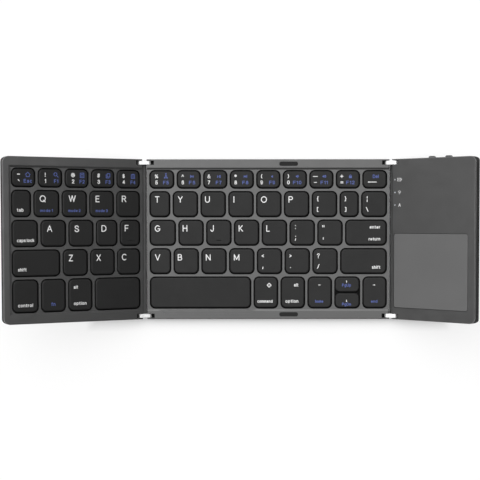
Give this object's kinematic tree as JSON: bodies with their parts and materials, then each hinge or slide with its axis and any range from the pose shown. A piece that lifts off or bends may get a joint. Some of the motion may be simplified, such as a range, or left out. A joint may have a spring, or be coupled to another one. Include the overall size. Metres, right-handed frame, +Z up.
{
  "type": "folding keyboard",
  "caption": "Slim pocket keyboard folding in three on double-pivot hinges: two panels of low-profile keys and a touchpad panel, both side panels tilted up.",
  "frame": {"origin": "under the middle of the middle panel's underside, on the plane that its rubber feet stand on", "axes": "+X along the key rows towards the touchpad panel, +Y to the rear (digit row), +Z up"},
  "size_m": [0.276, 0.0981, 0.0483],
  "materials": {
    "shell": "fine matt moulded black-grey",
    "deck": "anodised dark grey, satin",
    "key": "matt moulded charcoal with printed legends",
    "guide": "black moulding",
    "membrane": "translucent film",
    "rubber": "matt black",
    "screw": "blackened",
    "magnet": "nickel plated",
    "touchpad": "smooth satin grey",
    "board": "green solder mask",
    "battery": "foil pouch",
    "socket": "bright stamped shell",
    "lamp": "frosted clear",
    "link": "polished bright",
    "pin": "ground steel",
    "spine": "matt dark grey",
    "control": "matt black-grey"
  },
  "bodies": {
    "centre": {"centre_shell": "shell", "centre_deck": "deck", "centre_guide_frame": "guide", "centre_membrane": "membrane", "centre_feet": "rubber", "centre_screws": "screw", "fold_bumpers": "rubber", "centre_magnets": "magnet"},
    "left_link": {"left_hinge_links": "link", "left_hinge_pins": "pin", "left_hinge_spine": "spine"},
    "left_flap": {"left_shell": "shell", "left_deck": "deck", "left_guide_frame": "guide", "left_membrane": "membrane", "left_feet": "rubber", "left_screws": "screw", "left_magnets": "magnet"},
    "right_link": {"right_hinge_links": "link", "right_hinge_pins": "pin", "right_hinge_spine": "spine"},
    "right_flap": {"right_shell": "shell", "right_cover": "deck", "touchpad": "touchpad", "touchpad_board": "board", "main_board": "board", "battery_pack": "battery", "charging_port": "socket", "indicator_lights": "lamp", "right_feet": "rubber", "right_screws": "screw", "right_magnets": "magnet"},
    "power_switch_body": {"power_switch": "control"},
    "pairing_button_body": {"pairing_button": "control"},
    "keys_left_digits_body": {"keys_left_digits": "key"},
    "keys_q_to_r_body": {"keys_q_to_r": "key"},
    "keys_a_to_f_body": {"keys_a_to_f": "key"},
    "keys_z_to_c_body": {"keys_z_to_c": "key"},
    "key_tab_body": {"key_tab": "key"},
    "key_caps_lock_body": {"key_caps_lock": "key"},
    "key_left_shift_body": {"key_left_shift": "key"},
    "key_control_body": {"key_control": "key"},
    "key_fn_body": {"key_fn": "key"},
    "key_left_alt_body": {"key_left_alt": "key"},
    "key_left_space_body": {"key_left_space": "key"},
    "keys_right_digits_body": {"keys_right_digits": "key"},
    "keys_t_to_bracket_body": {"keys_t_to_bracket": "key"},
    "keys_g_to_quote_body": {"keys_g_to_quote": "key"},
    "keys_v_to_slash_body": {"keys_v_to_slash": "key"},
    "key_backspace_body": {"key_backspace": "key"},
    "key_enter_body": {"key_enter": "key"},
    "key_right_shift_body": {"key_right_shift": "key"},
    "key_right_space_body": {"key_right_space": "key"},
    "key_command_body": {"key_command": "key"},
    "key_option_body": {"key_option": "key"},
    "key_arrow_left_body": {"key_arrow_left": "key"},
    "key_arrow_up_body": {"key_arrow_up": "key"},
    "key_arrow_down_body": {"key_arrow_down": "key"},
    "key_arrow_right_body": {"key_arrow_right": "key"}
  },
  "joints": [
    {"name": "left_fold", "type": "hinge", "parent": "centre", "child": "left_link", "pos_m": [-0.07275, 0, 0.0042], "axis": [0, 1, 0], "range_deg": [-14.35, 75.65]},
    {"name": "left_fold_flap", "type": "hinge", "parent": "left_link", "child": "left_flap", "pos_m": [-0.0774, 0, 0.00539], "axis": [0, 1, 0], "range_deg": [-14.35, 75.65]},
    {"name": "right_fold", "type": "hinge", "parent": "centre", "child": "right_link", "pos_m": [0.07275, 0, 0.0042], "axis": [0, -1, 0], "range_deg": [-20.35, 69.65]},
    {"name": "right_fold_flap", "type": "hinge", "parent": "right_link", "child": "right_flap", "pos_m": [0.07725, 0, 0.00587], "axis": [0, -1, 0], "range_deg": [-20.35, 69.65]},
    {"name": "power_switch_slide", "type": "slide", "parent": "right_flap", "child": "power_switch_body", "axis": [0.7581, 0, 0.6521], "range_m": [0, 0.002]},
    {"name": "pairing_button_press", "type": "slide", "parent": "right_flap", "child": "pairing_button_body", "axis": [0, -1, 0], "range_m": [0, 0.0004], "stiffness_N_per_m": 1000, "springref_m": -0.0002},
    {"name": "keys_left_digits_press", "type": "slide", "parent": "left_flap", "child": "keys_left_digits_body", "axis": [-0.4802, 0, -0.8771], "range_m": [0, 0.0013], "stiffness_N_per_m": 300, "springref_m": -0.0004},
    {"name": "keys_q_to_r_press", "type": "slide", "parent": "left_flap", "child": "keys_q_to_r_body", "axis": [-0.4802, 0, -0.8771], "range_m": [0, 0.0013], "stiffness_N_per_m": 300, "springref_m": -0.0004},
    {"name": "keys_a_to_f_press", "type": "slide", "parent": "left_flap", "child": "keys_a_to_f_body", "axis": [-0.4802, 0, -0.8771], "range_m": [0, 0.0013], "stiffness_N_per_m": 300, "springref_m": -0.0004},
    {"name": "keys_z_to_c_press", "type": "slide", "parent": "left_flap", "child": "keys_z_to_c_body", "axis": [-0.4802, 0, -0.8771], "range_m": [0, 0.0013], "stiffness_N_per_m": 300, "springref_m": -0.0004},
    {"name": "key_tab_press", "type": "slide", "parent": "left_flap", "child": "key_tab_body", "axis": [-0.4802, 0, -0.8771], "range_m": [0, 0.0013], "stiffness_N_per_m": 300, "springref_m": -0.0004},
    {"name": "key_caps_lock_press", "type": "slide", "parent": "left_flap", "child": "key_caps_lock_body", "axis": [-0.4802, 0, -0.8771], "range_m": [0, 0.0013], "stiffness_N_per_m": 300, "springref_m": -0.0004},
    {"name": "key_left_shift_press", "type": "slide", "parent": "left_flap", "child": "key_left_shift_body", "axis": [-0.4802, 0, -0.8771], "range_m": [0, 0.0013], "stiffness_N_per_m": 300, "springref_m": -0.0004},
    {"name": "key_control_press", "type": "slide", "parent": "left_flap", "child": "key_control_body", "axis": [-0.4802, 0, -0.8771], "range_m": [0, 0.0013], "stiffness_N_per_m": 300, "springref_m": -0.0004},
    {"name": "key_fn_press", "type": "slide", "parent": "left_flap", "child": "key_fn_body", "axis": [-0.4802, 0, -0.8771], "range_m": [0, 0.0013], "stiffness_N_per_m": 300, "springref_m": -0.0004},
    {"name": "key_left_alt_press", "type": "slide", "parent": "left_flap", "child": "key_left_alt_body", "axis": [-0.4802, 0, -0.8771], "range_m": [0, 0.0013], "stiffness_N_per_m": 300, "springref_m": -0.0004},
    {"name": "key_left_space_press", "type": "slide", "parent": "left_flap", "child": "key_left_space_body", "axis": [-0.4802, 0, -0.8771], "range_m": [0, 0.0013], "stiffness_N_per_m": 300, "springref_m": -0.0004},
    {"name": "keys_right_digits_press", "type": "slide", "parent": "centre", "child": "keys_right_digits_body", "axis": [0, 0, -1], "range_m": [0, 0.0013], "stiffness_N_per_m": 300, "springref_m": -0.0004},
    {"name": "keys_t_to_bracket_press", "type": "slide", "parent": "centre", "child": "keys_t_to_bracket_body", "axis": [0, 0, -1], "range_m": [0, 0.0013], "stiffness_N_per_m": 300, "springref_m": -0.0004},
    {"name": "keys_g_to_quote_press", "type": "slide", "parent": "centre", "child": "keys_g_to_quote_body", "axis": [0, 0, -1], "range_m": [0, 0.0013], "stiffness_N_per_m": 300, "springref_m": -0.0004},
    {"name": "keys_v_to_slash_press", "type": "slide", "parent": "centre", "child": "keys_v_to_slash_body", "axis": [0, 0, -1], "range_m": [0, 0.0013], "stiffness_N_per_m": 300, "springref_m": -0.0004},
    {"name": "key_backspace_press", "type": "slide", "parent": "centre", "child": "key_backspace_body", "axis": [0, 0, -1], "range_m": [0, 0.0013], "stiffness_N_per_m": 300, "springref_m": -0.0004},
    {"name": "key_enter_press", "type": "slide", "parent": "centre", "child": "key_enter_body", "axis": [0, 0, -1], "range_m": [0, 0.0013], "stiffness_N_per_m": 300, "springref_m": -0.0004},
    {"name": "key_right_shift_press", "type": "slide", "parent": "centre", "child": "key_right_shift_body", "axis": [0, 0, -1], "range_m": [0, 0.0013], "stiffness_N_per_m": 300, "springref_m": -0.0004},
    {"name": "key_right_space_press", "type": "slide", "parent": "centre", "child": "key_right_space_body", "axis": [0, 0, -1], "range_m": [0, 0.0013], "stiffness_N_per_m": 300, "springref_m": -0.0004},
    {"name": "key_command_press", "type": "slide", "parent": "centre", "child": "key_command_body", "axis": [0, 0, -1], "range_m": [0, 0.0013], "stiffness_N_per_m": 300, "springref_m": -0.0004},
    {"name": "key_option_press", "type": "slide", "parent": "centre", "child": "key_option_body", "axis": [0, 0, -1], "range_m": [0, 0.0013], "stiffness_N_per_m": 300, "springref_m": -0.0004},
    {"name": "key_arrow_left_press", "type": "slide", "parent": "centre", "child": "key_arrow_left_body", "axis": [0, 0, -1], "range_m": [0, 0.0013], "stiffness_N_per_m": 300, "springref_m": -0.0004},
    {"name": "key_arrow_up_press", "type": "slide", "parent": "centre", "child": "key_arrow_up_body", "axis": [0, 0, -1], "range_m": [0, 0.0013], "stiffness_N_per_m": 300, "springref_m": -0.0004},
    {"name": "key_arrow_down_press", "type": "slide", "parent": "centre", "child": "key_arrow_down_body", "axis": [0, 0, -1], "range_m": [0, 0.0013], "stiffness_N_per_m": 300, "springref_m": -0.0004},
    {"name": "key_arrow_right_press", "type": "slide", "parent": "centre", "child": "key_arrow_right_body", "axis": [0, 0, -1], "range_m": [0, 0.0013], "stiffness_N_per_m": 300, "springref_m": -0.0004}
  ],
  "couplings": [
    {"joint": "left_fold_flap", "follows": "left_fold", "ratio": 1},
    {"joint": "right_fold_flap", "follows": "right_fold", "ratio": 1}
  ]
}
